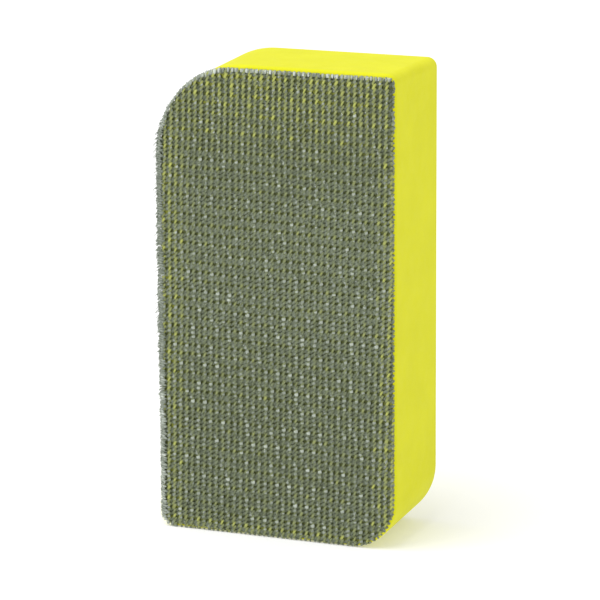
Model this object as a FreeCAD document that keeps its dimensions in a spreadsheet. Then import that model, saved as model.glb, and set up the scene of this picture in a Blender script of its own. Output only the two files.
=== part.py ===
import FreeCAD, Part
import Sketcher
import math
import os

# Hand sanding block: a soft foam block with a knitted abrasive net laminated on its front face.
# Millimetres. X is the width, Y the thickness with the net towards -Y, and Z the height. The block
# stands on its lower short end, with the origin in the middle of its footprint.
#
# The face is laminated in this order, from the foam outwards: adhesive film, inlay yarns, pillar
# yarns, abrasive coat. The pillars are the net's upright rows of stitches. The inlay yarns cross
# behind them and tie them together, and leave the net's open meshes between them.

DIMENSIONS = {
    # the block, with the net on
    "block_width": 66.0,
    "block_height": 125.0,
    "overall_thickness": 32.0,
    # Two opposite corners are broadly rounded. The cut through the soft foam leaves each of them
    # with one radius at the front face and another at the back.
    "upper_left_front_radius": 24.3,
    "upper_left_back_radius": 20.8,
    "lower_right_front_radius": 12.5,
    "lower_right_back_radius": 16.0,
    "upper_right_radius": 2.6,
    "lower_left_radius": 3.5,
    "foam_edge_bevel": 1.0,
    "standing_end_trim": 0.02,  # the foam is trimmed flat by this much where it stands
    # the layers of the laminated face
    "film_thickness": 0.1,
    "inlay_thickness": 0.3,
    "coat_thickness": 0.08,
    # the knitted net
    "wale_pitch": 1.716,
    "wale_count": 38,
    "pillar_width": 0.9,
    "course_pitch": 1.245,
    "course_count": 100,
    "inlay_height": 0.55,
    "net_inset": 0.5,
    "yarn_overrun": 5.0,  # how far the yarns run past the block before they are trimmed
}
# Each outline's corner radii: lower right, upper right, upper left, lower left.
FRONT_CORNERS = (
    "lower_right_front_radius",
    "upper_right_radius",
    "upper_left_front_radius",
    "lower_left_radius",
)
BACK_CORNERS = (
    "lower_right_back_radius",
    "upper_right_radius",
    "upper_left_back_radius",
    "lower_left_radius",
)

# How far in front of the block's middle plane each layer starts, as expressions on the sheet.
FRONT_PLANE = "Dimensions.overall_thickness / 2"
COAT_BACK = f"{FRONT_PLANE} - Dimensions.coat_thickness"
PILLAR_BACK = f"{COAT_BACK} - Dimensions.pillar_width / 2"
INLAY_BACK = f"{PILLAR_BACK} - Dimensions.inlay_thickness"
FOAM_FRONT = f"{INLAY_BACK} - Dimensions.film_thickness"

START, END, ARC_CENTRE = 1, 2, 3  # a sketch line's or arc's points, as the solver numbers them
SKETCH_ORIGIN = (-1, 1)

doc = FreeCAD.newDocument("SandingBlock")


def make_sheet():
    sheet = doc.addObject("Spreadsheet::Sheet", "Dimensions")
    for row, (alias, value) in enumerate(DIMENSIONS.items(), start=1):
        sheet.set(f"A{row}", alias)
        sheet.set(f"B{row}", str(value))
        sheet.setAlias(f"B{row}", alias)
    doc.recompute()


def add_body(name):
    """A body that may hold separate solids, as the net's rows of yarn do."""
    body = doc.addObject("PartDesign::Body", name)
    body.AllowCompound = True
    return body


def origin_feature(body, role):
    return next(item for item in body.Origin.OriginFeatures if item.Role == role)


def add_sketch(body, name, plane_role, offset="0"):
    """A sketch on one of the body's origin planes, moved along that plane's normal by an expression."""
    sketch = body.newObject("Sketcher::SketchObject", name)
    sketch.AttachmentSupport = [(origin_feature(body, plane_role), "")]
    sketch.MapMode = "FlatFace"
    sketch.setExpression("AttachmentOffset.Base.z", offset)
    return sketch


def bind(sketch, kind, elements, value, name, expression):
    """Adds one dimension to a sketch, names it and binds it to the sheet."""
    index = sketch.addConstraint(Sketcher.Constraint(kind, *elements, value))
    sketch.renameConstraint(index, name)
    sketch.setExpression(f"Constraints.{name}", expression)


def quarter_arc(x, y, radius, quarter):
    """A corner arc, from quarter 0 between the +x and +y directions, counted anticlockwise."""
    circle = Part.Circle(FreeCAD.Vector(x, y, 0), FreeCAD.Vector(0, 0, 1), radius)
    return Part.ArcOfCircle(circle, quarter * math.pi / 2, (quarter + 1) * math.pi / 2)


def segment(x1, y1, x2, y2):
    return Part.LineSegment(FreeCAD.Vector(x1, y1, 0), FreeCAD.Vector(x2, y2, 0))


def draw_outline(sketch, corner_aliases, inset_alias=None, overrun_alias=None):
    """The block's front view, a rectangle with four rounded corners.

    It can be inset all round by one dimension, and run past the standing end by another."""
    inset = DIMENSIONS[inset_alias] if inset_alias else 0.0
    overrun = DIMENSIONS[overrun_alias] if overrun_alias else 0.0
    less_inset = f" - Dimensions.{inset_alias}" if inset_alias else ""
    less_overrun = f" - Dimensions.{overrun_alias}" if overrun_alias else ""
    half = DIMENSIONS["block_width"] / 2 - inset
    low, high = inset - overrun, DIMENSIONS["block_height"] - inset
    radii = [DIMENSIONS[alias] - inset for alias in corner_aliases]
    lower_right, upper_right, upper_left, lower_left = radii
    sketch.addGeometry(
        [
            segment(-half + lower_left, low, half - lower_right, low),
            quarter_arc(half - lower_right, low + lower_right, lower_right, 3),
            segment(half, low + lower_right, half, high - upper_right),
            quarter_arc(half - upper_right, high - upper_right, upper_right, 0),
            segment(half - upper_right, high, -half + upper_left, high),
            quarter_arc(-half + upper_left, high - upper_left, upper_left, 1),
            segment(-half, high - upper_left, -half, low + lower_left),
            quarter_arc(-half + lower_left, low + lower_left, lower_left, 2),
        ],
        False,
    )
    bottom, right, top, left = 0, 2, 4, 6
    for piece in range(8):
        sketch.addConstraint(Sketcher.Constraint("Tangent", piece, END, (piece + 1) % 8, START))
    for side in (bottom, top):
        sketch.addConstraint(Sketcher.Constraint("Horizontal", side))
    for side in (right, left):
        sketch.addConstraint(Sketcher.Constraint("Vertical", side))
    half_width = f"Dimensions.block_width / 2{less_inset}"
    top_height = f"Dimensions.block_height{less_inset}"
    bottom_height = f"Dimensions.{inset_alias}{less_overrun}" if inset_alias else f"0{less_overrun}"
    bind(sketch, "DistanceX", (*SKETCH_ORIGIN, right, START), half, "right_side", half_width)
    bind(sketch, "DistanceX", (left, START, *SKETCH_ORIGIN), half, "left_side", half_width)
    bind(sketch, "DistanceY", (*SKETCH_ORIGIN, top, START), high, "top_side", top_height)
    bind(sketch, "DistanceY", (*SKETCH_ORIGIN, bottom, START), low, "bottom_side", bottom_height)
    for arc, alias, radius in zip((1, 3, 5, 7), corner_aliases, radii):
        bind(sketch, "Radius", (arc,), radius, f"corner_{arc}", f"Dimensions.{alias}{less_inset}")


def draw_bar(sketch, reach, low, high):
    """A bar's front view, centred across. Each size is a (value, expression) pair, from the origin."""
    corners = [(-reach[0], low[0]), (reach[0], low[0]), (reach[0], high[0]), (-reach[0], high[0])]
    sketch.addGeometry([segment(*corners[n], *corners[(n + 1) % 4]) for n in range(4)], False)
    bottom, right, top, left = range(4)
    for side in (bottom, right, top, left):
        sketch.addConstraint(Sketcher.Constraint("Coincident", side, END, (side + 1) % 4, START))
    for side in (bottom, top):
        sketch.addConstraint(Sketcher.Constraint("Horizontal", side))
    for side in (right, left):
        sketch.addConstraint(Sketcher.Constraint("Vertical", side))
    bind(sketch, "DistanceX", (*SKETCH_ORIGIN, right, START), reach[0], "right_side", reach[1])
    bind(sketch, "DistanceX", (left, START, *SKETCH_ORIGIN), reach[0], "left_side", reach[1])
    bind(sketch, "DistanceY", (*SKETCH_ORIGIN, bottom, START), low[0], "low_side", low[1])
    bind(sketch, "DistanceY", (*SKETCH_ORIGIN, top, START), high[0], "high_side", high[1])


def draw_first_pillar(sketch, radii):
    """The leftmost pillar's half-round section for one radius, or the half ring around it for two.

    Each radius is a (value, expression) pair. The flat side faces the foam, the round side outwards."""
    coated_front = DIMENSIONS["overall_thickness"] / 2 - DIMENSIONS["coat_thickness"]
    centre_x = (DIMENSIONS["wale_count"] - 1) / 2 * DIMENSIONS["wale_pitch"]
    centre_y = coated_front - DIMENSIONS["pillar_width"] / 2
    centre = FreeCAD.Vector(-centre_x, -centre_y, 0)
    for radius, _ in radii:
        circle = Part.Circle(centre, FreeCAD.Vector(0, 0, 1), radius)
        sketch.addGeometry(Part.ArcOfCircle(circle, math.pi, 2 * math.pi), False)
    outer, inner = radii[0][0], radii[-1][0]
    if len(radii) == 1:
        closing_lines = [(START, END, segment(-centre_x - outer, -centre_y, -centre_x + outer, -centre_y))]
    else:
        closing_lines = [
            (START, START, segment(-centre_x - outer, -centre_y, -centre_x - inner, -centre_y)),
            (END, END, segment(-centre_x + outer, -centre_y, -centre_x + inner, -centre_y)),
        ]
    outer_arc, inner_arc = 0, len(radii) - 1
    outer_centre, inner_centre = (outer_arc, ARC_CENTRE), (inner_arc, ARC_CENTRE)
    for outer_end, inner_end, line in closing_lines:
        index = sketch.addGeometry(line, False)
        sketch.addConstraint(Sketcher.Constraint("Coincident", index, START, outer_arc, outer_end))
        sketch.addConstraint(Sketcher.Constraint("Coincident", index, END, inner_arc, inner_end))
        sketch.addConstraint(Sketcher.Constraint("Horizontal", index))
        sketch.addConstraint(Sketcher.Constraint("PointOnObject", *outer_centre, index))
    if inner_arc != outer_arc:
        sketch.addConstraint(Sketcher.Constraint("Coincident", *outer_centre, *inner_centre))
    half_net = "(Dimensions.wale_count - 1) / 2 * Dimensions.wale_pitch"
    bind(sketch, "DistanceX", (*outer_centre, *SKETCH_ORIGIN), centre_x, "across", half_net)
    bind(sketch, "DistanceY", (*outer_centre, *SKETCH_ORIGIN), centre_y, "out", PILLAR_BACK)
    for arc, (radius, expression) in enumerate(radii):
        bind(sketch, "Radius", (arc,), radius, f"radius_{arc}", expression)


def pad(body, sketch, name, length, both_ways=False):
    feature = body.newObject("PartDesign::Pad", name)
    feature.Profile = sketch
    feature.setExpression("Length", length)
    feature.SideType = "Symmetric" if both_ways else "One side"
    return feature


def repeat(body, feature, name, axis_role, pitch, count):
    """Repeats one yarn's pad along an axis, at the net's own pitch."""
    pattern = body.newObject("PartDesign::LinearPattern", name)
    pattern.Originals = [feature]
    pattern.Direction = (origin_feature(body, axis_role), [""])
    pattern.setExpression("Length", f"Dimensions.{pitch} * (Dimensions.{count} - 1)")
    pattern.setExpression("Occurrences", f"Dimensions.{count}")
    body.Tip = pattern


def trimmed(label, rows, outline):
    """The rows of yarn, trimmed to the net's outline."""
    common = doc.addObject("Part::Common", label)
    common.Base = rows
    common.Tool = outline
    return common


def trim_standing_end(body):
    """Cuts off everything below the plane that the block stands on, which leaves a flat end."""
    half_width, depth = DIMENSIONS["block_width"] / 2, DIMENSIONS["overall_thickness"]
    overrun = DIMENSIONS["yarn_overrun"]
    sketch = add_sketch(body, "standing_plane", "XY_Plane")
    draw_bar(
        sketch,
        (half_width + overrun, "Dimensions.block_width / 2 + Dimensions.yarn_overrun"),
        (-depth, "-Dimensions.overall_thickness"),
        (depth, "Dimensions.overall_thickness"),
    )
    cut = body.newObject("PartDesign::Pocket", "standing_end_cut")
    cut.Profile = sketch
    cut.setExpression("Length", "2 * Dimensions.standing_end_trim")
    body.Tip = cut


def foam_block():
    """One block of open-cell foam, with its front and back edges a little softened by the cutting."""
    body = add_body("foam_block")
    back_plane = f"-({FRONT_PLANE})"
    sections = [
        ("front_face", FOAM_FRONT, FRONT_CORNERS, "foam_edge_bevel"),
        ("front_shoulder", f"{FOAM_FRONT} - Dimensions.foam_edge_bevel", FRONT_CORNERS, None),
        ("back_shoulder", f"{back_plane} + Dimensions.foam_edge_bevel", BACK_CORNERS, None),
        ("back_face", back_plane, BACK_CORNERS, "foam_edge_bevel"),
    ]
    sketches = []
    for name, offset, corner_aliases, inset_alias in sections:
        sketch = add_sketch(body, name, "XZ_Plane", offset)
        draw_outline(sketch, corner_aliases, inset_alias, "standing_end_trim")
        sketches.append(sketch)
    doc.recompute()
    loft = body.newObject("PartDesign::AdditiveLoft", "foam_loft")
    loft.Profile = sketches[0]
    loft.Sections = sketches[1:]
    loft.Ruled = True
    doc.recompute()
    trim_standing_end(body)
    return body


def outline_slab(name, back, thickness):
    """A slab of the net's outline: its back plane and its thickness are expressions on the sheet."""
    body = add_body(name)
    sketch = add_sketch(body, f"{name}_outline", "XZ_Plane", back)
    draw_outline(sketch, FRONT_CORNERS, "net_inset")
    pad(body, sketch, f"{name}_pad", thickness)
    return body


def inlay_rows():
    """Flat cross yarns, one for each course of the net, before they are trimmed."""
    body = add_body("inlay_rows")
    pitch, height = DIMENSIONS["course_pitch"], DIMENSIONS["inlay_height"]
    reach = DIMENSIONS["block_width"] / 2 + DIMENSIONS["yarn_overrun"]
    sketch = add_sketch(body, "inlay_front_view", "XZ_Plane", INLAY_BACK)
    draw_bar(
        sketch,
        (reach, "Dimensions.block_width / 2 + Dimensions.yarn_overrun"),
        ((pitch - height) / 2, "(Dimensions.course_pitch - Dimensions.inlay_height) / 2"),
        ((pitch + height) / 2, "(Dimensions.course_pitch + Dimensions.inlay_height) / 2"),
    )
    yarn = pad(body, sketch, "inlay_yarn", "Dimensions.inlay_thickness")
    repeat(body, yarn, "inlay_courses", "Z_Axis", "course_pitch", "course_count")
    return body


def pillar_rows(name, radii):
    """Upright half-round rows, one for each wale of the net, before they are trimmed."""
    body = add_body(name)
    sketch = add_sketch(body, f"{name}_section", "XY_Plane")
    draw_first_pillar(sketch, radii)
    yarn = pad(body, sketch, f"{name}_yarn", "Dimensions.block_height + Dimensions.yarn_overrun")
    repeat(body, yarn, f"{name}_wales", "X_Axis", "wale_pitch", "wale_count")
    return body


def export(part):
    part.Shape.exportStep(f"parts/{part.Label}.step")
    solids = part.Shape.Solids
    box = part.Shape.BoundBox
    print(
        f"{part.Label}: {len(solids)} solids, {part.Shape.Volume:.1f} mm3,"
        f" x {box.XMin:.2f} to {box.XMax:.2f},"
        f" y {box.YMin:.2f} to {box.YMax:.2f},"
        f" z {box.ZMin:.2f} to {box.ZMax:.2f}"
    )


make_sheet()
yarn_radius = (DIMENSIONS["pillar_width"] / 2, "Dimensions.pillar_width / 2")
coat_radius = (
    yarn_radius[0] + DIMENSIONS["coat_thickness"],
    f"{yarn_radius[1]} + Dimensions.coat_thickness",
)
net_outline = outline_slab("net_outline", INLAY_BACK, "Dimensions.overall_thickness / 2")
sub_parts = [
    foam_block(),
    outline_slab("adhesive_film", FOAM_FRONT, "Dimensions.film_thickness"),
    trimmed("net_inlay_yarns", inlay_rows(), net_outline),
    trimmed("net_pillar_yarns", pillar_rows("pillars", [yarn_radius]), net_outline),
    trimmed("abrasive_coat", pillar_rows("coats", [coat_radius, yarn_radius]), net_outline),
]
doc.recompute()

for item in doc.Objects:
    if "Invalid" in item.State or "Error" in item.State:
        raise RuntimeError(f"{item.Label} failed: {item.State}")
for part in sub_parts:
    if part.Shape.isNull() or not part.Shape.isValid():
        raise RuntimeError(f"{part.Label} has no valid shape")

os.makedirs("parts", exist_ok=True)
for part in sub_parts:
    export(part)
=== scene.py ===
import math

import bpy
import numpy as np
from mathutils import Matrix, Vector


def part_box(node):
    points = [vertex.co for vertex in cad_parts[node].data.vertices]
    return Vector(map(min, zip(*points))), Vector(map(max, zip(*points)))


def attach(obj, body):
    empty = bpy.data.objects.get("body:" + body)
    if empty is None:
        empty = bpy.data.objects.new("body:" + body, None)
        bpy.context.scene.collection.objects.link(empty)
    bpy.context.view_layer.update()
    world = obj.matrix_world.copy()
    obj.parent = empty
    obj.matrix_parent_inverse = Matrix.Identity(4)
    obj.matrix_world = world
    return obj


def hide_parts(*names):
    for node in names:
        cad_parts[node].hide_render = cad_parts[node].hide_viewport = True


# Hand sanding block: yellow foam with a knitted abrasive net on its front face (-Y).
# Lengths in this file are millimetres until a mesh, a material or the camera is made, and MM turns them
# to metres. On the front face, u or p runs across to the right and v or q runs up.
MM = 0.001

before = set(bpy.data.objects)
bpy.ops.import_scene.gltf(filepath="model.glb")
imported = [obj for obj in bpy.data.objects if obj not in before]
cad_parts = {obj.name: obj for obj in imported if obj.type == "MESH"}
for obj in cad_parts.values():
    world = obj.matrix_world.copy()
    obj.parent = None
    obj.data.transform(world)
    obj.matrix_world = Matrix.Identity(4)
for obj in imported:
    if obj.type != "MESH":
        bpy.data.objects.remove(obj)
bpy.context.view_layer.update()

foam_low, foam_high = (np.array(corner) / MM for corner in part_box("foam_block"))
HALF_WIDTH = (foam_high[0] - foam_low[0]) / 2
HEIGHT = foam_high[2] - foam_low[2]
FOAM_FRONT = foam_low[1]
FOAM_BACK = foam_high[1]

# Corner radii of the block's outline: upper right, upper left, lower left, lower right.
FRONT_RADII = (2.6, 24.3, 3.5, 12.5)
BACK_RADII = (2.6, 20.8, 3.5, 16.0)
EDGE_RADIUS = 1.5  # soft rounding of the foam's front and back edges
NET_BEND = EDGE_RADIUS + 0.3  # radius of the middle of the net where it goes round the front edge
FILM_FACE, FILM_UNDERSIDE = 0.1, 0.01  # how far the adhesive film's two sides lie off the foam

# The net's cut outline: how far inside the block's right, top, left and bottom sides it ends, measured
# round the foam's soft front edge, and its corner radii in the same order as the block's.
NET_INSETS = (0.35, 0.95, 0.0, 0.3)
NET_RADII = (1.2, 21.4, 3.3, 12.1)

# The net, in its own plane: wales run up it and courses across it. There are a few more of both than fit
# on the block, because the net is laminated slightly askew and is trimmed afterwards.
WALE_PITCH = 1.716
COURSE_PITCH = 1.245
NET_TURN = math.radians(-0.95)
WALES = range(-3, 41)
MIDDLE_WALE = 18.5
FIRST_COURSE = -2
COURSES = 104
NET_REACH = 36.0  # half the length of a cross yarn before it is trimmed
STITCHES_ACROSS = 42

# How far in from each side of the block the net is drawn more open.
OPEN_LEFT = 9
OPEN_RIGHT = 6
OPEN_TOP = 26
OPEN_BOTTOM = 6
OPEN_BOTTOM_SHARE = 0.7

# How strongly the wales stand apart at some heights: most at the top, least in the middle.
RIB_HEIGHTS = (0, 42, 66, 86, 102, 118)
RIB_STRENGTHS = (0.66, 0.62, 0.0, 0.12, 0.72, 0.95)

# The face yarns stand out fully below the lower of these heights, and less by this share above the upper.
FLATTER_BETWEEN = (62, 84)
FLATTER_SHARE = 0.55

# Cross yarns.
PAIR_SHIFT = 0.17  # the cross yarns of two courses draw together by this, and leave a mesh after them
INLAY_SLANT = 0.32  # half of how much a cross yarn rises from one wale to the next
INLAY_LIFT = 0.25
INLAY_HALF_HEIGHT = 0.44
INLAY_HALF_DEPTH = 0.17

# Pillar chains: one loop to a course.
CHAIN_POINTS = 8  # points along a chain in each course
STITCH_LEAN = 0.34  # how far each stitch leans to the right as it rises
LOOP_RISE = 0.38  # how far a loop rises and falls back, in courses
LOOP_SWAY = 0.10
CHAIN_LIFT = 0.45
LOOP_LIFT = 0.17  # how much further a loop's head stands out than the middle of the chain
CHAIN_HALF_WIDTH = 0.30
CHAIN_HALF_DEPTH = 0.15

# Face yarns: thick yarns that float on the face and hop from wale to wale.
GROUP = 4  # courses for which a face yarn stays on one wale
FACE_YARNS = range(-3, 36)
FACE_POINTS = 6  # points along a face yarn in each course
FACE_HALF_DEPTH = 0.20
FACE_LIFT = 0.44
# A face yarn's knuckles on its way down: courses down, wales to the right, half width and lift. The first
# is where it comes onto a wale, and the last is the first one of its next group.
KNUCKLES = (
    (0.0, 0.00, 0.50, 0.72),
    (1.15, -0.12, 0.42, 0.64),
    (2.05, 0.02, 0.44, 0.64),
    (3.15, 0.76, 0.40, 0.60),
    (4.0, 1.00, 0.50, 0.72),
)
KNUCKLE_LEAN = 0.15
FIRST_KNUCKLE_SPREAD = 0.29  # in courses
HOP_LEG = 2  # between the third knuckle and the fourth the yarn dips behind the chains
HOP_WAIST, PLAIN_WAIST = 0.30, 0.50  # how thin the yarn is between two knuckles, as a share
HOP_DIP, PLAIN_DIP = 0.55, 0.26  # how far it dips there

# Where a chain has no face yarn over it, and the yellow spots that show there: courses below the place
# where a face yarn comes onto its wale. A spot is its place and strength. The yellow is partly the thin
# yarn's own yellow-green and partly painted highlight, as if lit foam glowed through it.
BARE_STARTS = (2.6, 3.4)
BARE_ENDS = (6.4, 7.2)
YELLOW_SPOTS = ((5.7, 1.0), (3.7, 0.35))
SPOT_SPREAD = 0.34

# Cut ends round the net are thick knots or thin fibres: how far one sticks out where the net is frayed,
# its half width, how much thinner its tip is, and how many sides its tube has.
END_SPACING = 0.33
KNOT_EVERY = 4  # at the stitches' own pitch
KNOT = {"reach": (0.3, 0.7), "half_width": (0.24, 0.34), "thinning": 0.35, "sides": 6}
FIBRE = {"reach": (0.3, 1.5), "half_width": (0.08, 0.18), "thinning": 0.6, "sides": 5}
MORE_FRAYED_BETWEEN = (25, 55)  # the left side is more frayed, and darker, above these heights

# Abrasive grains.
GRAIN_PATCH = 28  # points along a face yarn that have grains, or lack them, together
LARGE_GRAINS = (0.13, 0.30)
SMALL_GRAINS = (0.06, 0.14)
SMALL_GRAIN_COUNT = 14000

# Points round an outline: in each corner, and on its right, top, left and bottom sides.
CORNER_STEPS = 33
SIDE_STEPS = (80, 48, 80, 48)

rng = np.random.default_rng(27)

# Slow waves that make the yarns wander: how fast they turn (radians a millimetre) and where they start.
WAVES = [(rng.uniform(0.03, 0.16, 2) * rng.choice([-1, 1], 2), rng.uniform(0, 6.28, 2)) for _ in range(7)]
WAVE_ACROSS = 0.07
WAVE_UP = 0.06


# ---------------------------------------------------------------- helpers


def ease(low, high, value):
    """Rises smoothly from 0 at low to 1 at high."""
    share = np.clip((value - low) / (high - low), 0, 1)
    return share * share * (3 - 2 * share)


def bell(value, middle, spread):
    """1 at the middle, falling smoothly to 0 on both sides."""
    return np.exp(-(((value - middle) / spread) ** 2))


def fade(distance, reach):
    """1 at no distance, falling evenly to 0 at the reach."""
    return 1 - np.clip(distance / reach, 0, 1)


def per_stitch(stitches, length, amount):
    """Uneven values along a yarn, one for each stitch and eased between them."""
    values = rng.normal(0, amount, stitches + 1)
    return np.interp(np.linspace(0, stitches, length), np.arange(stitches + 1), values)


def runs(keep):
    """Start and end of each stretch of True values."""
    edges = np.flatnonzero(np.diff(np.concatenate([[0], keep.astype(np.int8), [0]])))
    return zip(edges[::2], edges[1::2])


# ---------------------------------------------------------------- outlines and the face


def outline_distance(u, v, radii, insets=(0, 0, 0, 0)):
    """Signed distance to a rounded outline (negative inside), and the outward direction across and up."""
    upper_right, upper_left, lower_left, lower_right = radii
    right, top, left, bottom = insets
    half_width = HALF_WIDTH - (left + right) / 2
    half_height = HEIGHT / 2 - (top + bottom) / 2
    x = u - (left - right) / 2
    z = v - HEIGHT / 2 - (bottom - top) / 2
    upper = np.where(x > 0, upper_right, upper_left)
    lower = np.where(x > 0, lower_right, lower_left)
    radius = np.where(z > 0, upper, lower)
    past_x = np.abs(x) - half_width + radius
    past_z = np.abs(z) - half_height + radius
    outer_x, outer_z = np.maximum(past_x, 0), np.maximum(past_z, 0)
    outside = np.hypot(outer_x, outer_z)
    distance = np.minimum(np.maximum(past_x, past_z), 0) + outside - radius
    nx = np.where(outside > 0, outer_x / np.maximum(outside, 1e-9), past_x > past_z) * np.sign(x)
    nz = np.where(outside > 0, outer_z / np.maximum(outside, 1e-9), past_x <= past_z) * np.sign(z)
    return distance, nx, nz


def net_distance(u, v):
    """Signed distance to the net's own cut edge."""
    return outline_distance(u, v, NET_RADII, NET_INSETS)[0]


def on_face(u, v, lift):
    """Points of the laminated face, lifted off the foam, and the way out there. Beyond the flat part of the
    face, u and v go on along the foam's rounded front edge."""
    distance, nx, nz = outline_distance(u, v, FRONT_RADII)
    past = np.maximum(distance + EDGE_RADIUS, 0)
    turn = past / NET_BEND
    reach = (EDGE_RADIUS + lift) * np.sin(turn)
    x = u - nx * past + nx * reach
    z = v - nz * past + nz * reach
    y = FOAM_FRONT + EDGE_RADIUS - (EDGE_RADIUS + lift) * np.cos(turn)
    y = np.where(past > 0, y, FOAM_FRONT - lift)
    out = np.stack([nx * np.sin(turn), -np.cos(turn), nz * np.sin(turn)], -1)
    return np.stack([x, y, z], -1), out


def waver(p, q):
    """Small slow wandering of the yarns, as a knit has."""
    dx = dz = 0
    for (fp, fq), (a, b) in WAVES:
        dx = dx + WAVE_ACROSS * np.sin(fp * p + fq * q + a)
        dz = dz + WAVE_UP * np.sin(fq * p - fp * q + b)
    return dx, dz


def from_net(p, q):
    """The net's own plane (p across the wales, q up the courses) laid on the face."""
    c, s = math.cos(NET_TURN), math.sin(NET_TURN)
    dx, dz = waver(p, q)
    p, q = p + dx, q - HEIGHT / 2 + dz
    return c * p - s * q, s * p + c * q + HEIGHT / 2


def corner_points(radius):
    """A quarter turn from across to up."""
    angles = np.radians(np.linspace(0, 90, CORNER_STEPS))
    return radius * np.stack([np.cos(angles), np.sin(angles)], -1)


def outline_loop(radii, sides):
    """Points round a rounded outline, anticlockwise seen from the front, always the same number of them.
    Its sides are right, top, left and bottom."""
    right, top, left, bottom = sides
    corners = []
    for n, (x, z) in enumerate(((right, top), (left, top), (left, bottom), (right, bottom))):
        radius = max(radii[n], 0.05)
        arc = corner_points(radius)
        across, up = (1 if x == right else -1), (1 if z == top else -1)
        arc = arc if across == up else arc[::-1]
        corners.append(np.stack([x + across * (arc[:, 0] - radius), z + up * (arc[:, 1] - radius)], -1))
    loop = []
    for n in range(4):
        loop.append(corners[n])
        start, end = corners[n][-1], corners[(n + 1) % 4][0]
        steps = SIDE_STEPS[(n + 1) % 4]
        loop.append(start + (end - start) * np.arange(1, steps)[:, None] / steps)
    return np.concatenate(loop)


def block_loop(radii, inset):
    """The block's own outline, inset all round."""
    sides = (HALF_WIDTH - inset, HEIGHT - inset, -HALF_WIDTH + inset, inset)
    return outline_loop([radius - inset for radius in radii], sides)


def net_loop():
    """The net's cut edge."""
    right, top, left, bottom = NET_INSETS
    return outline_loop(NET_RADII, (HALF_WIDTH - right, HEIGHT - top, -HALF_WIDTH + left, bottom))


def net_edge(spacing):
    """Evenly spaced points on the net's cut edge, and the way out of the block there."""
    loop = net_loop()
    closed = np.concatenate([loop, loop[:1]])
    along = np.concatenate([[0], np.cumsum(np.linalg.norm(np.diff(closed, axis=0), axis=1))])
    places = np.arange(0, along[-1], spacing)
    u = np.interp(places, along, closed[:, 0])
    v = np.interp(places, along, closed[:, 1])
    _, nx, nz = outline_distance(u, v, NET_RADII, NET_INSETS)
    return u, v, nx, nz


# ---------------------------------------------------------------- meshes


class Strands:
    """Gathers tubes and other bits of mesh into one object."""

    def __init__(self):
        self.points = []
        self.faces = []
        self.tints = []
        self.count = 0

    def add(self, points, faces, tint=0.0):
        """Faces are rows of four point numbers. A triangle's first and last are the same."""
        self.points.append(points)
        self.faces.append(faces + self.count)
        self.tints.append(np.broadcast_to(tint, len(points)))
        self.count += len(points)

    def skin(self, rings, tips=None, tint=0.0):
        """A closed surface through a row of rings, with a fan of triangles to a tip at each end. The tint is
        one value, or one for each ring."""
        rings = np.asarray(rings)
        rows, count = rings.shape[:2]
        tips = rings[[0, -1]].mean(1) if tips is None else tips
        row = np.arange(rows - 1)[:, None] * count
        here = np.arange(count)
        after = (here + 1) % count
        quads = np.stack([row + here, row + after, row + count + after, row + count + here], -1)
        first_tip = np.full(count, rows * count)
        last_tip = first_tip + 1
        end = (rows - 1) * count
        first_fan = np.stack([first_tip, after, here, first_tip], -1)
        last_fan = np.stack([last_tip, end + here, end + after, last_tip], -1)
        tint = np.broadcast_to(tint, rows)
        self.add(
            np.concatenate([rings.reshape(-1, 3), tips]),
            np.concatenate([quads.reshape(-1, 4), first_fan, last_fan]),
            np.concatenate([np.repeat(tint, count), tint[[0, -1]]]),
        )

    def tube(self, path, out, half_width, half_height, sides, taper=1.0, tint=0.0):
        """An oval tube along a path, closed at both ends. out is the way its flat side faces."""
        along = np.gradient(path, axis=0)
        along /= np.linalg.norm(along, axis=1)[:, None] + 1e-12
        side = np.cross(along, out)
        side /= np.linalg.norm(side, axis=1)[:, None] + 1e-12
        up = np.cross(side, along)
        taper = np.broadcast_to(taper, len(path))
        angles = np.arange(sides) * 2 * math.pi / sides + math.pi / 2
        width = np.reshape(half_width * taper, (-1, 1, 1))
        height = np.reshape(half_height * taper, (-1, 1, 1))
        across = np.cos(angles)[None, :, None] * side[:, None, :] * width
        upward = np.sin(angles)[None, :, None] * up[:, None, :] * height
        self.skin(path[:, None, :] + across + upward, path[[0, -1]], tint)

    def build(self, name, material):
        """Makes the object, in metres, with its tint as a point attribute."""
        points = np.concatenate(self.points) * MM
        points[:, 2] = np.maximum(points[:, 2], 0)  # pressed flat where the block stands on its end
        faces = np.concatenate(self.faces)
        sizes = np.where(faces[:, 0] == faces[:, 3], 3, 4)
        corners = faces[np.arange(4)[None, :] < sizes[:, None]]
        starts = np.concatenate([[0], np.cumsum(sizes)[:-1]])
        mesh = bpy.data.meshes.new(name)
        mesh.vertices.add(len(points))
        mesh.vertices.foreach_set("co", points.astype(np.float32).ravel())
        mesh.loops.add(len(corners))
        mesh.loops.foreach_set("vertex_index", corners.astype(np.int32))
        mesh.polygons.add(len(faces))
        mesh.polygons.foreach_set("loop_start", starts.astype(np.int32))
        mesh.polygons.foreach_set("loop_total", sizes.astype(np.int32))
        mesh.polygons.foreach_set("use_smooth", np.ones(len(faces), bool))
        tints = mesh.attributes.new("tint", "FLOAT", "POINT")
        tints.data.foreach_set("value", np.concatenate(self.tints).astype(np.float32))
        mesh.update(calc_edges=True)
        mesh.validate()
        mesh.materials.append(material)
        piece = bpy.data.objects.new(name, mesh)
        bpy.context.scene.collection.objects.link(piece)
        return piece


def lay_yarn(strands, p, q, lift, half_width, half_height, sides, tint, ragged=0.12):
    """Lays one yarn of the net on the face, trimmed raggedly where the net ends."""
    u, v = from_net(p, q)
    path, out = on_face(u, v, lift)
    fewest_points = 4
    for start, end in runs(net_distance(u, v) < rng.normal(0, ragged)):
        if end - start >= fewest_points:
            part = slice(start, end)
            strands.tube(path[part], out[part], half_width[part], half_height, sides, tint=tint[part])


# ---------------------------------------------------------------- the net's yarns


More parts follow.
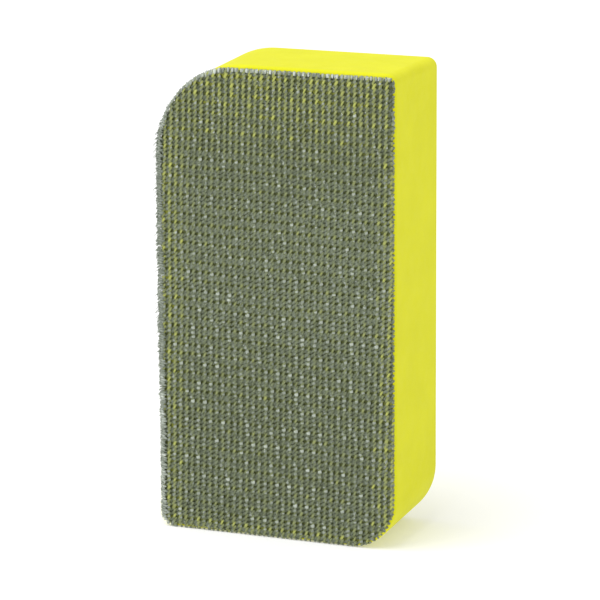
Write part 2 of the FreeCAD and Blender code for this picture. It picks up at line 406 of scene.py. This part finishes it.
def openness(p, q):
    """Up to 1 at the block's sides, where the net is drawn more open, and 0 inside."""
    left = fade(p + HALF_WIDTH, OPEN_LEFT)
    right = fade(HALF_WIDTH - p, OPEN_RIGHT)
    top = fade(HEIGHT - q, OPEN_TOP)
    bottom = fade(q, OPEN_BOTTOM)
    return np.maximum(np.maximum(left, right), np.maximum(top, OPEN_BOTTOM_SHARE * bottom))


def relief(q):
    """How far the face yarns stand out: fully in the lower half of the block, less in the upper half."""
    return 1 - FLATTER_SHARE * ease(*FLATTER_BETWEEN, q)


def ribbing(q):
    """How strongly the wales stand apart, from 0 to 1."""
    return np.interp(q, RIB_HEIGHTS, RIB_STRENGTHS)


def mesh_row(q):
    """1 at each row of open meshes, every second course, and 0 between the rows."""
    return 0.5 + 0.5 * np.cos(math.pi * q / COURSE_PITCH)


def wale_across(wale):
    """Where a wale stands across the net."""
    return (wale - MIDDLE_WALE) * WALE_PITCH


def courses_down(q):
    """How many courses a place is below the first row of meshes, where a face yarn comes onto a wale."""
    return -q / COURSE_PITCH - 0.2


def inlay_yarns(material):
    """Cross yarns behind the wales, slanting up to the right between them. Their tint is how light they are:
    they lie deeper where the wales stand apart, and there their colour is darkened as painted shade, with
    random per-stitch tone."""
    strands = Strands()
    p = np.arange(-NET_REACH, NET_REACH, WALE_PITCH / 4)
    phase = 2 * math.pi * (p - wale_across(0)) / WALE_PITCH
    for course in range(COURSES):
        base = (course + FIRST_COURSE + 0.5) * COURSE_PITCH
        lower_of_pair = course % 2 == 0
        if lower_of_pair:
            drawn = PAIR_SHIFT + rng.normal(0, 0.03) + per_stitch(7, len(p), 0.05)
        shift = drawn if lower_of_pair else -drawn
        q = base + shift - INLAY_SLANT * np.sin(phase) + per_stitch(STITCHES_ACROSS, len(p), 0.09)
        lift = INLAY_LIFT + 0.06 * ribbing(q) * np.cos(phase) + per_stitch(STITCHES_ACROSS, len(p), 0.03)
        narrowed = 1 - 0.16 * openness(p, q)
        height = INLAY_HALF_HEIGHT * narrowed * (1 + per_stitch(STITCHES_ACROSS, len(p), 0.10))
        # Painted shade: less tint, so a darker colour, where the wales stand apart and the cross yarns lie
        # in deep grooves.
        tint = 1.15 - 0.85 * ribbing(q) + per_stitch(STITCHES_ACROSS, len(p), 0.15)
        lay_yarn(strands, p, q, lift, height, INLAY_HALF_DEPTH, 6, np.clip(tint, 0, 1))
    return strands.build("inlay_yarns", material)


def pillar_chains(name, wales, material):
    """One chain of loops up each wale: each loop rises in front, leaning to the right, and falls behind.
    Its tint is the yellow that shows where no face yarn covers it, most of all beside a mesh: partly the
    yarn's own yellow-green, partly painted highlight, laid strongest on the loop heads and near the sides."""
    strands = Strands()
    for wale in wales:
        turn = np.arange(COURSES * CHAIN_POINTS) / CHAIN_POINTS + FIRST_COURSE + rng.uniform(-0.05, 0.05)
        phase = 2 * math.pi * turn
        front = np.cos(phase)
        head = 0.5 + 0.5 * front
        uneven = per_stitch(COURSES, len(turn), 0.04) + per_stitch(30, len(turn), 0.05)
        q = COURSE_PITCH * (turn + LOOP_RISE * np.sin(phase))
        p = wale_across(wale) - LOOP_SWAY * front + STITCH_LEAN * np.sin(phase) + uneven
        lift = CHAIN_LIFT + LOOP_LIFT * front + per_stitch(COURSES, len(turn), 0.03)
        width = CHAIN_HALF_WIDTH * (1 + 0.20 * front + per_stitch(COURSES, len(turn), 0.14))
        since = np.mod(courses_down(q) - GROUP * wale, 2 * GROUP)
        bare = ease(*BARE_STARTS, since) * (1 - ease(*BARE_ENDS, since))
        spots = sum(strength * bell(since, place, SPOT_SPREAD) for place, strength in YELLOW_SPOTS)
        open_here = openness(p, q)
        yellow = 0.10 + spots * (1 + per_stitch(COURSES, len(turn), 0.7))
        # Partly painted highlight: the yellow is laid strongest on the loop heads, beside each row of
        # meshes, and near the block's sides.
        tint = bare * (0.20 + 1.1 * open_here) * yellow * (0.3 + 0.7 * head)
        tint = tint + (0.20 * mesh_row(q) + 0.40 * open_here) * head
        lay_yarn(strands, p, q, lift, width, CHAIN_HALF_DEPTH, 6, np.clip(tint, 0, 1.3))
    return strands.build(name, material)


def face_path(yarn):
    """A face yarn's way over the net, and for each point its half width, its lift, how near it is to a
    knuckle, and how near to the first knuckle of a group."""
    q = np.arange(0.0, COURSES * COURSE_PITCH, COURSE_PITCH / FACE_POINTS) + FIRST_COURSE * COURSE_PITCH
    down = courses_down(q)
    group = np.floor(down / GROUP)
    rest = down - GROUP * group
    downs, rights, widths, lifts = np.array(KNUCKLES).T
    leg = np.clip(np.searchsorted(downs, rest, side="right") - 1, 0, GROUP - 1)
    share = (rest - downs[leg]) / (downs[leg + 1] - downs[leg])
    eased = ease(0, 1, share)
    right = rights[leg] + (rights[leg + 1] - rights[leg]) * eased
    bulge = np.cos(math.pi * share) ** 2
    waist = np.where(leg == HOP_LEG, HOP_WAIST, PLAIN_WAIST)
    dip = np.where(leg == HOP_LEG, HOP_DIP, PLAIN_DIP)
    width = (widths[leg] + (widths[leg + 1] - widths[leg]) * eased) * (waist + (1 - waist) * bulge)
    lift = lifts[leg] + (lifts[leg + 1] - lifts[leg]) * eased - dip * (1 - bulge)
    first = bell(np.minimum(rest, GROUP - rest), 0, FIRST_KNUCKLE_SPREAD)
    p = wale_across(0) + WALE_PITCH * (2 * yarn + group + right) - KNUCKLE_LEAN * np.sin(2 * math.pi * share)
    return p, q, width, lift, bulge, first


def face_yarns(material):
    """Thick yarns floating on the face, with a knuckle at each course. Their tint is painted highlight:
    paler knuckles, most of all the first of each group, with random per-stitch tone.
    """
    strands = Strands()
    for yarn in FACE_YARNS:
        p, q, width, lift, bulge, first = face_path(yarn)
        stand = relief(q)
        p = p + per_stitch(COURSES, len(p), 0.06) + per_stitch(30, len(p), 0.05)
        uneven = per_stitch(COURSES, len(p), 1.0)
        lift = FACE_LIFT + (lift - FACE_LIFT) * (0.35 + 0.65 * stand) + 0.02 * uneven
        width = width * (0.72 + 0.28 * stand) * (1 - 0.2 * openness(p, q)) * (1 + 0.12 * uneven)
        # Painted highlight: the knuckles are coloured paler, the first of each group and those beside a row
        # of meshes most, and less near the sides.
        tint = bulge * (0.12 + 0.34 * first + 0.25 * mesh_row(q) + 0.36 * uneven)
        tint = np.clip(tint * (1 - 0.45 * openness(p, q)), 0, 1)
        lay_yarn(strands, p, q, lift, width, FACE_HALF_DEPTH, 8, tint)
    return strands.build("face_yarns", material)


def cut_ends(material):
    """Cut ends of the yarns round the net: a knot at each stitch and thin fibres between them. On the left
    side they are thick, close together, bent down, and darker higher up. Along the top they are pale, which
    is painted highlight, with painted shadow darkening their tips, and along the bottom there are few. Their
    tint is how pale they are."""
    strands = Strands()
    for n, (u, v, nx, nz) in enumerate(zip(*net_edge(END_SPACING))):
        left, top, bottom = max(-nx, 0) ** 3, max(nz, 0) ** 4, max(-nz, 0) ** 2
        corner = 2 * max(-nx, 0) * abs(nz)
        upper = ease(*MORE_FRAYED_BETWEEN, v)
        frayed = max(left * (0.5 + 0.5 * upper), 0.38 * corner)
        knot = n % KNOT_EVERY == 0 or (n % 2 == 0 and left > 0.5)
        if not knot and rng.random() > 0.35 + 0.30 * top + 0.5 * max(left, corner) - 0.25 * bottom:
            continue
        kind = KNOT if knot else FIBRE
        run = 0.35 + 0.45 * top + rng.uniform(0.6, 1.5) * max(left, 0.6 * corner)
        reach = rng.uniform(0.1, 0.3) + rng.uniform(*kind["reach"]) * frayed
        inside = -run * np.linspace(1, 0, 4)
        lift = np.linspace(0.66 + 0.2 * left, 0.5 + 0.15 * left, 4)
        on_net, out = on_face(u + nx * inside, v + nz * inside, lift)
        away = on_net[3] - on_net[2]
        away = away / np.linalg.norm(away) + np.array([0.8 * left * nx, -0.8 * left, 0])
        away += 0.25 * rng.normal(size=3)
        away = away / np.linalg.norm(away)
        share = np.linspace(0, 1, 5)[1:]
        sag = np.array([0, 0, -0.6 * left * reach])
        free = on_net[3] + away * reach * share[:, None] + sag * share[:, None] ** 2
        path = np.concatenate([on_net, free])
        out = np.concatenate([out, np.repeat(out[-1:], 4, axis=0)])
        half_width = rng.uniform(*kind["half_width"])
        taper = np.concatenate([[0.5, 0.9, 1, 1], 1 - kind["thinning"] * share])
        # On the left and at the corners the fibres are simply paler; along the top the paleness is painted
        # highlight.
        pale = max((0.45 - 0.30 * upper) * left, 0.8 * top, 0.5 * corner) * rng.uniform(0.2, 1.3)
        # Painted shadow: along the top the free tips are darkened.
        tint = pale * np.concatenate([np.ones(4), 1 - 0.9 * top * share**0.5])
        strands.tube(path, out, half_width, half_width, kind["sides"], taper, np.clip(tint, 0, 1))
    return strands.build("cut_ends", material)


# A grain is an uneven octahedron: its six corners, and the triangles of its upper and lower half.
GRAIN_CORNERS = np.array([[1, 0, 0], [-1, 0, 0], [0, 1, 0], [0, -1, 0], [0, 0, 1], [0, 0, -1]], float)
GRAIN_TOP = [[0, 2, 4, 0], [2, 1, 4, 2], [1, 3, 4, 1], [3, 0, 4, 3]]
GRAIN_FOOT = [[2, 0, 5, 2], [1, 2, 5, 1], [3, 1, 5, 3], [0, 3, 5, 0]]
GRAIN_FACES = np.array(GRAIN_TOP + GRAIN_FOOT)


def grain_places():
    """Where each grain lies in the net, and its size: large ones mostly on knuckles, small ones all over."""
    places = []
    for yarn in FACE_YARNS:
        p, q, _, _, _, first = face_path(yarn)
        lucky = np.repeat(rng.random(len(p) // GRAIN_PATCH + 1) < 0.7, GRAIN_PATCH)[: len(p)]
        keep = rng.random(len(p)) < 0.06 + 0.8 * first * relief(q) * lucky
        p, q = p[keep], q[keep]
        size = rng.uniform(*LARGE_GRAINS, len(p))
        places.append(np.stack([p + rng.normal(0, 0.13, len(p)), q + rng.normal(0, 0.08, len(p)), size], 1))
    count = SMALL_GRAIN_COUNT
    across = (np.floor(rng.uniform(-20, 20, count)) + 0.5) * WALE_PITCH + rng.normal(0, 0.2, count)
    up = rng.uniform(-1, HEIGHT + 1, count)
    places.append(np.stack([across, up, rng.uniform(*SMALL_GRAINS, count)], 1))
    return np.concatenate(places).T


def abrasive_grains(material):
    """Grains of mineral bonded to the tops of the yarns, thickest on the knuckles of the face yarns."""
    p, q, size = grain_places()
    u, v = from_net(p, q)
    keep = net_distance(u, v) < -0.1
    u, v, q, size = u[keep], v[keep], q[keep], size[keep]
    centre, _ = on_face(u, v, 0.62 + 0.18 * relief(q) + 0.3 * (size - 0.1))
    count = len(centre)
    corners = GRAIN_CORNERS[None] * rng.uniform(0.6, 1.2, (count, 6, 1)) * size[:, None, None] * 0.5
    spin = np.linalg.qr(rng.normal(size=(count, 3, 3)))[0]
    points = centre[:, None, :] + np.einsum("nij,nkj->nki", spin, corners)
    faces = GRAIN_FACES[None] + 6 * np.arange(count)[:, None, None]
    strands = Strands()
    strands.add(points.reshape(-1, 3), faces.reshape(-1, 4))
    return strands.build("abrasive_grains", material)


# ---------------------------------------------------------------- foam and film


def at_depth(loop, y):
    """An outline's points, across and up, placed at a depth."""
    return np.stack([loop[:, 0], np.full(len(loop), y), loop[:, 1]], -1)


def face_rings(radii, y, shares):
    """Rings of a flat face, each a share of the way from its middle to its rim."""
    middle = np.array([0, HEIGHT / 2])
    rim = block_loop(radii, EDGE_RADIUS)
    return [at_depth(middle + (rim - middle) * share, y) for share in shares]


def edge_rings(radii, y, inward, angles):
    """Rings round a soft edge. Angle 0 is on the face, which is at y, and a quarter turn is on the side."""
    rings = []
    for angle in angles:
        loop = block_loop(radii, EDGE_RADIUS * (1 - math.sin(angle)))
        rings.append(at_depth(loop, y + inward * EDGE_RADIUS * (1 - math.cos(angle))))
    return rings


def side_rings(shares):
    """Rings between the soft edges. The corner radii change evenly from the front's to the back's."""
    rings = []
    for share in shares:
        radii = [front + (back - front) * share for front, back in zip(FRONT_RADII, BACK_RADII)]
        y = FOAM_FRONT + EDGE_RADIUS + (FOAM_BACK - FOAM_FRONT - 2 * EDGE_RADIUS) * share
        rings.append(at_depth(block_loop(radii, 0), y))
    return rings


def foam_piece(material):
    """The foam, as rings from the middle of its front over its soft edges to the middle of its back."""
    shares = np.linspace(0.02, 0.98, 30)
    quarter = np.radians(np.linspace(0, 90, 8))
    rings = face_rings(FRONT_RADII, FOAM_FRONT, shares)
    rings += edge_rings(FRONT_RADII, FOAM_FRONT, 1, quarter)
    rings += side_rings(np.linspace(0, 1, 32)[1:-1])
    rings += edge_rings(BACK_RADII, FOAM_BACK, -1, quarter[::-1])
    rings += face_rings(BACK_RADII, FOAM_BACK, shares[::-1])
    strands = Strands()
    strands.skin(rings)
    return strands.build("foam", material)


def film_piece(material):
    """The adhesive film: a thin skin on the foam's front face, just as far as the net reaches."""
    middle = np.array([0, HEIGHT / 2])
    rim = net_loop()
    shares = np.concatenate([np.linspace(0.02, 0.94, 20), np.linspace(0.95, 0.995, 10)])
    rings = []
    for lift, order in ((FILM_FACE, 1), (FILM_UNDERSIDE, -1)):
        for share in shares[::order]:
            loop = middle + (rim - middle) * share
            rings.append(on_face(loop[:, 0], loop[:, 1], lift)[0])
    strands = Strands()
    strands.skin(rings)
    return strands.build("bonding_film", material)


# ---------------------------------------------------------------- materials


class Surface:
    """A procedural material: a shader, and helpers that add nodes in front of it. Sizes are millimetres,
    and colours are linear (red, green, blue)."""

    def __init__(self, name, roughness):
        self.material = bpy.data.materials.new(name)
        self.material.use_nodes = True
        self.tree = self.material.node_tree
        self.shader = self.tree.nodes["Principled BSDF"]
        self.shader.inputs["Roughness"].default_value = roughness
        self.place = self.node("ShaderNodeTexCoord").outputs["Object"]

    def node(self, kind, inputs=(), **settings):
        """A new node. An input is a value, or another node's socket to link."""
        made = self.tree.nodes.new(kind)
        for name, value in settings.items():
            setattr(made, name, value)
        for socket, value in dict(inputs).items():
            if isinstance(value, bpy.types.NodeSocket):
                self.tree.links.new(value, made.inputs[socket])
            else:
                made.inputs[socket].default_value = value
        return made

    def link(self, output, socket):
        """Feeds the shader."""
        self.tree.links.new(output, self.shader.inputs[socket])

    def noise(self, size, detail=2.0):
        """Smooth noise from 0 to 1, with features of a size."""
        inputs = {"Vector": self.place, "Scale": 1 / (size * MM), "Detail": detail}
        return self.node("ShaderNodeTexNoise", inputs).outputs["Fac"]

    def cells(self, size):
        """Cells of a size, each with its own colour and the distance from its middle."""
        return self.node("ShaderNodeTexVoronoi", {"Vector": self.place, "Scale": 1 / (size * MM)})

    def patches(self, size):
        """A random value from 0 to 1 for each patch of a size."""
        colour = self.cells(size).outputs["Color"]
        return self.node("ShaderNodeSeparateColor", {"Color": colour}).outputs["Red"]

    def spread(self, value, low, high, new_low=0.0, new_high=1.0):
        """Stretches low..high to new_low..new_high, and holds what lies beyond."""
        inputs = {"Value": value, "From Min": low, "From Max": high, "To Min": new_low, "To Max": new_high}
        return self.node("ShaderNodeMapRange", inputs, clamp=True).outputs["Result"]

    def math(self, operation, first, second):
        return self.node("ShaderNodeMath", {0: first, 1: second}, operation=operation).outputs["Value"]

    def mix(self, share, first, second):
        """From the first colour to the second. Either can be another node's colour."""
        first, second = ((*colour, 1) if isinstance(colour, tuple) else colour for colour in (first, second))
        # The Mix node's sockets for colours are numbers 6 and 7 in, and 2 out.
        return self.node("ShaderNodeMix", {0: share, 6: first, 7: second}, data_type="RGBA").outputs[2]

    def bump(self, height, depth, strength=1.0):
        made = self.node("ShaderNodeBump", {"Height": height, "Distance": depth * MM, "Strength": strength})
        self.link(made.outputs["Normal"], "Normal")

    def near_edges(self):
        """Up to 1 where the net is drawn open near the block's four sides, and 0 inside. It fades over 8 mm
        on the left, 5 on the right, 24 near the top and 6 at the bottom."""
        axes = self.node("ShaderNodeSeparateXYZ", {"Vector": self.place})
        across, up = axes.outputs["X"], axes.outputs["Z"]
        left = self.spread(across, -HALF_WIDTH * MM, (-HALF_WIDTH + 8) * MM, 1.0, 0.0)
        right = self.spread(across, (HALF_WIDTH - 5) * MM, HALF_WIDTH * MM, 0.0, 0.7)
        top = self.spread(up, (HEIGHT - 27) * MM, (HEIGHT - 3) * MM, 0.0, 0.9)
        bottom = self.spread(up, 0.0, 6 * MM, 0.8, 0.0)
        return self.math("MAXIMUM", self.math("MAXIMUM", left, right), self.math("MAXIMUM", top, bottom))


def yarn_material(name, dark, light, tinted, roughness):
    """Coated yarn: each stitch a little lighter or darker, and another colour where the mesh's tint says. On
    the net's yarns that tint is partly painted light: highlights, and shade in the grooves.
    """
    surface = Surface(name, roughness)
    tint = surface.node("ShaderNodeAttribute", attribute_name="tint").outputs["Fac"]
    stitch = surface.math("MULTIPLY", surface.patches(0.8), 0.6)
    stitch = surface.math("ADD", stitch, surface.spread(surface.noise(0.4), 0.35, 0.65, 0.0, 0.4))
    coated = surface.mix(stitch, dark, light)
    flecks = surface.spread(surface.patches(0.9), 0.55, 0.9, 0.0, 0.6)
    # The tint's share wanders slowly, and grows in flecks near the block's sides. Where the tint is painted
    # highlight or painted shade, these move the painted light too.
    edge_flecks = surface.math("MULTIPLY", surface.near_edges(), flecks)
    uneven_tint = surface.spread(surface.noise(2.6), 0.35, 0.65, 0.45, 1.15)
    share = surface.math("ADD", surface.math("MULTIPLY", tint, uneven_tint), surface.math("MULTIPLY", tint, edge_flecks))
    surface.link(surface.mix(share, coated, tinted), "Base Color")
    gloss = surface.spread(surface.noise(0.8), 0.3, 0.7, roughness - 0.12, roughness + 0.12)
    surface.link(gloss, "Roughness")
    surface.bump(surface.noise(0.12, 3.0), 0.05)
    return surface.material


def foam_surface():
    """Fine open-cell foam: a matt yellow, with tiny cells, fine darker spots as painted shade in its pores,
    and slow random changes of tone.
    """
    surface = Surface("yellow_foam", 0.85)
    surface.shader.inputs["Specular IOR Level"].default_value = 0.45
    surface.shader.inputs["Sheen Weight"].default_value = 0.04
    shade = surface.spread(surface.noise(9.0, 3.0), 0.3, 0.7)
    pore_shade = surface.spread(surface.noise(0.28, 3.0), 0.35, 0.65)
    base = surface.mix(shade, (0.73, 0.725, 0.002), (0.77, 0.765, 0.005))
    # Painted shade: fine darker spots stand for the shade in the foam's pores.
    surface.link(surface.mix(surface.math("MULTIPLY", pore_shade, 0.18), base, (0.62, 0.60, 0.005)), "Base Color")
    surface.link(surface.spread(surface.noise(2.0), 0.3, 0.7, 0.80, 0.92), "Roughness")
    surface.bump(surface.cells(0.35).outputs["Distance"], 0.06, 0.5)
    return surface.material


def film_surface():
    """Adhesive film in the bottom of the meshes, coloured dark olive as painted shade for the deep meshes,
    with the foam's yellow in flecks near the block's sides, where the net is drawn open.
    """
    surface = Surface("adhesive_film", 0.5)
    flecks = surface.spread(surface.patches(1.4), 0.55, 0.95)
    share = surface.math("MULTIPLY", surface.math("MULTIPLY", surface.near_edges(), flecks), 0.8)
    # Painted shade: the film's dark olive stands for the shade deep in the meshes.
    dark = surface.mix(surface.noise(1.0), (0.065, 0.080, 0.016), (0.14, 0.165, 0.035))
    surface.link(surface.mix(share, dark, (0.42, 0.44, 0.03)), "Base Color")
    surface.link(surface.spread(surface.noise(0.6), 0.3, 0.7, 0.35, 0.65), "Roughness")
    surface.bump(surface.noise(0.25), 0.05)
    return surface.material


def grain_surface():
    """Pale mineral grains, each with its own shade of grey. Their paleness is partly the mineral's own
    colour and partly painted glint, the palest standing for the grit's sparkle.
    """
    surface = Surface("abrasive_grains", 0.3)
    # Partly painted glint: the pale end of this mix is set bright enough to stand for sparkle.
    surface.link(surface.mix(surface.patches(0.4), (0.36, 0.39, 0.34), (0.80, 0.83, 0.79)), "Base Color")
    surface.link(surface.spread(surface.noise(0.3), 0.3, 0.7, 0.2, 0.45), "Roughness")
    return surface.material


def floor_surface():
    """Pale matt paint that glows a little, so that shadows on it stay faint."""
    surface = Surface("floor_paint", 0.9)
    surface.shader.inputs["Emission Color"].default_value = (1, 1, 1, 1)
    surface.shader.inputs["Emission Strength"].default_value = 0.25
    paint = surface.mix(surface.noise(120.0), (0.785, 0.785, 0.785), (0.795, 0.795, 0.795))
    surface.link(paint, "Base Color")
    return surface.material


# ---------------------------------------------------------------- the object

foam_material = foam_surface()
film_material = film_surface()
# Its tinted yellow is partly the thin yarn's own yellow-green and partly painted highlight.
chain_material = yarn_material(
    "pillar_yarn",
    dark=(0.09, 0.11, 0.055),
    light=(0.205, 0.24, 0.135),
    tinted=(0.43, 0.465, 0.10),
    roughness=0.6,
)
# Its tinted colour is the cross yarns' colour without painted shade; less tint lays painted shade in the
# grooves.
inlay_material = yarn_material(
    "inlay_yarn",
    dark=(0.055, 0.07, 0.03),
    light=(0.12, 0.145, 0.075),
    tinted=(0.225, 0.26, 0.185),
    roughness=0.6,
)
# Its tinted colour is the painted highlight laid on the face yarns' knuckles.
face_material = yarn_material(
    "face_yarn",
    dark=(0.13, 0.155, 0.11),
    light=(0.25, 0.285, 0.22),
    tinted=(0.48, 0.53, 0.45),
    roughness=0.5,
)
# Its tinted colour is the pale of the cut ends: painted highlight along the top.
ends_material = yarn_material(
    "cut_yarn_ends",
    dark=(0.12, 0.145, 0.10),
    light=(0.24, 0.275, 0.21),
    tinted=(0.64, 0.69, 0.62),
    roughness=0.6,
)
grain_material = grain_surface()

foam = foam_piece(foam_material)
film = film_piece(film_material)
inlay = inlay_yarns(inlay_material)
half = len(WALES) // 2
chains = [
    pillar_chains("pillar_chains_left", WALES[:half], chain_material),
    pillar_chains("pillar_chains_right", WALES[half:], chain_material),
]
face = face_yarns(face_material)
ends = cut_ends(ends_material)
grains = abrasive_grains(grain_material)

for piece in (foam, film, inlay, face, ends, grains, *chains):
    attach(piece, "root")
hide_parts("foam_block")
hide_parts("adhesive_film")
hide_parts("net_inlay_yarns")
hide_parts("net_pillar_yarns")
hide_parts("abrasive_coat")

# ---------------------------------------------------------------- stage

CAMERA_AZIMUTH = math.radians(22.81)
CAMERA_ELEVATION = math.radians(12.89)
CAMERA_ROLL = math.radians(-0.31)
CAMERA_DISTANCE = 988
CAMERA_LENS = 225.8
# Where the camera aims, from the block's middle: to its right, down in its view, and straight down.
AIM_RIGHT = 0.32
AIM_DOWN = 1.29
AIM_DROP = 0.3


def stage():
    """A wide plain floor."""
    mesh = bpy.data.meshes.new("floor")
    size = 4.0  # metres
    corners = [(-size, -size, 0), (size, -size, 0), (size, size, 0), (-size, size, 0)]
    mesh.from_pydata(corners, [], [(0, 1, 2, 3)])
    floor = bpy.data.objects.new("floor", mesh)
    bpy.context.scene.collection.objects.link(floor)
    mesh.materials.append(floor_surface())


def sun_light(name, towards, strength, angle):
    """A soft sun. It makes a white surface that faces it as bright as its strength."""
    light = bpy.data.lights.new(name, "SUN")
    light.energy = strength * math.pi
    light.angle = math.radians(angle)
    lamp = bpy.data.objects.new(name, light)
    lamp.rotation_euler = Vector(towards).to_track_quat("Z", "Y").to_euler()
    bpy.context.scene.collection.objects.link(lamp)


def world_light(strength):
    """Even white light from all round."""
    world = bpy.data.worlds.new("studio")
    world.use_nodes = True
    background = world.node_tree.nodes["Background"]
    background.inputs["Color"].default_value = (1, 1, 1, 1)
    background.inputs["Strength"].default_value = strength
    bpy.context.scene.world = world


def camera():
    """The camera, looking down at the block's middle but for its small aiming shifts."""
    level = math.cos(CAMERA_ELEVATION)
    back = Vector(
        (math.sin(CAMERA_AZIMUTH) * level, -math.cos(CAMERA_AZIMUTH) * level, math.sin(CAMERA_ELEVATION))
    )
    right = Vector((math.cos(CAMERA_AZIMUTH), math.sin(CAMERA_AZIMUTH), 0))
    up = back.cross(right)
    aim = Vector((0, 0, HEIGHT / 2 - AIM_DROP)) + right * AIM_RIGHT - up * AIM_DOWN
    data = bpy.data.cameras.new("camera")
    data.lens = CAMERA_LENS
    data.sensor_width = 36
    data.clip_end = 50
    shooter = bpy.data.objects.new("camera", data)
    axes = Matrix((right, up, back)).transposed().to_4x4() @ Matrix.Rotation(CAMERA_ROLL, 4, "Z")
    shooter.matrix_world = Matrix.Translation((aim + back * CAMERA_DISTANCE) * MM) @ axes
    bpy.context.scene.collection.objects.link(shooter)
    bpy.context.scene.camera = shooter


stage()
world_light(0.735)
sun_light("key", (-0.32, -0.4, 1.05), 0.55, 50)
camera()
bpy.context.scene.view_settings.view_transform = "Standard"
